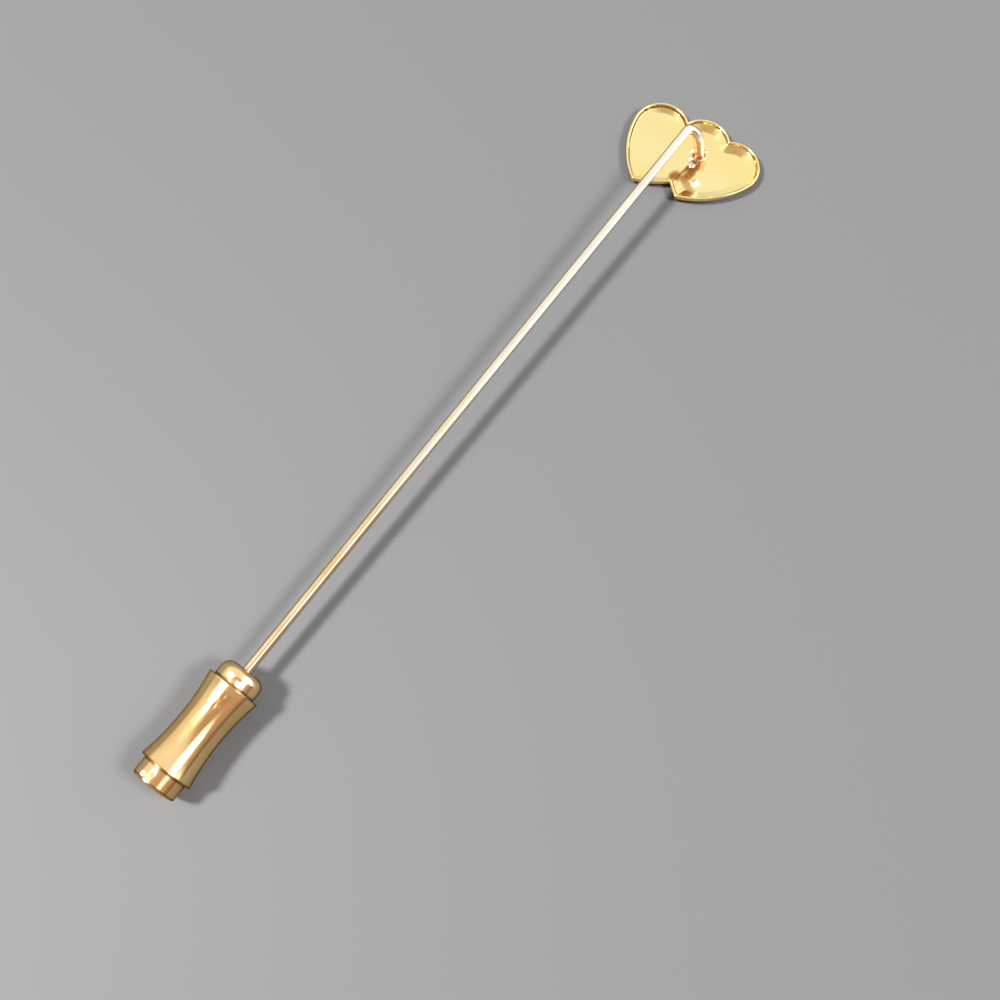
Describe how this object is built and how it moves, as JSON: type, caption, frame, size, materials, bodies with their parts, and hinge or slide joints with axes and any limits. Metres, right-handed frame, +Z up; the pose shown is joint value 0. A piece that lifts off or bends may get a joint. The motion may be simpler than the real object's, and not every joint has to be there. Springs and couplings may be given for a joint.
{
  "type": "stick pin",
  "caption": "Gold-coloured stick pin lying face down: a head of overlapping pressed hearts, hollow at the back, on a long bent wire with a waisted barrel clutch over its point.",
  "frame": {"origin": "middle of the footprint, on the surface that the pin lies on", "axes": "+X along the stem towards the head, +Z up from the surface, +Y to the left of the stem as seen from above"},
  "size_m": [0.0818, 0.0136, 0.0052],
  "materials": {
    "pin_gold": "polished pale gold plate on brass, with a little brown tarnish round the solder and inside the rim",
    "clutch_gold": "polished deep gold plate on brass, with small scuffs"
  },
  "bodies": {
    "pin": {"pin": "pin_gold"},
    "clutch": {"clutch_tube": "clutch_gold", "clutch_barrel": "clutch_gold", "clutch_cap": "clutch_gold"}
  },
  "joints": [
    {"name": "clutch_slide", "type": "slide", "parent": "pin", "child": "clutch", "axis": [-0.9997, 0, -0.0237], "range_m": [0, 0.0145]}
  ]
}
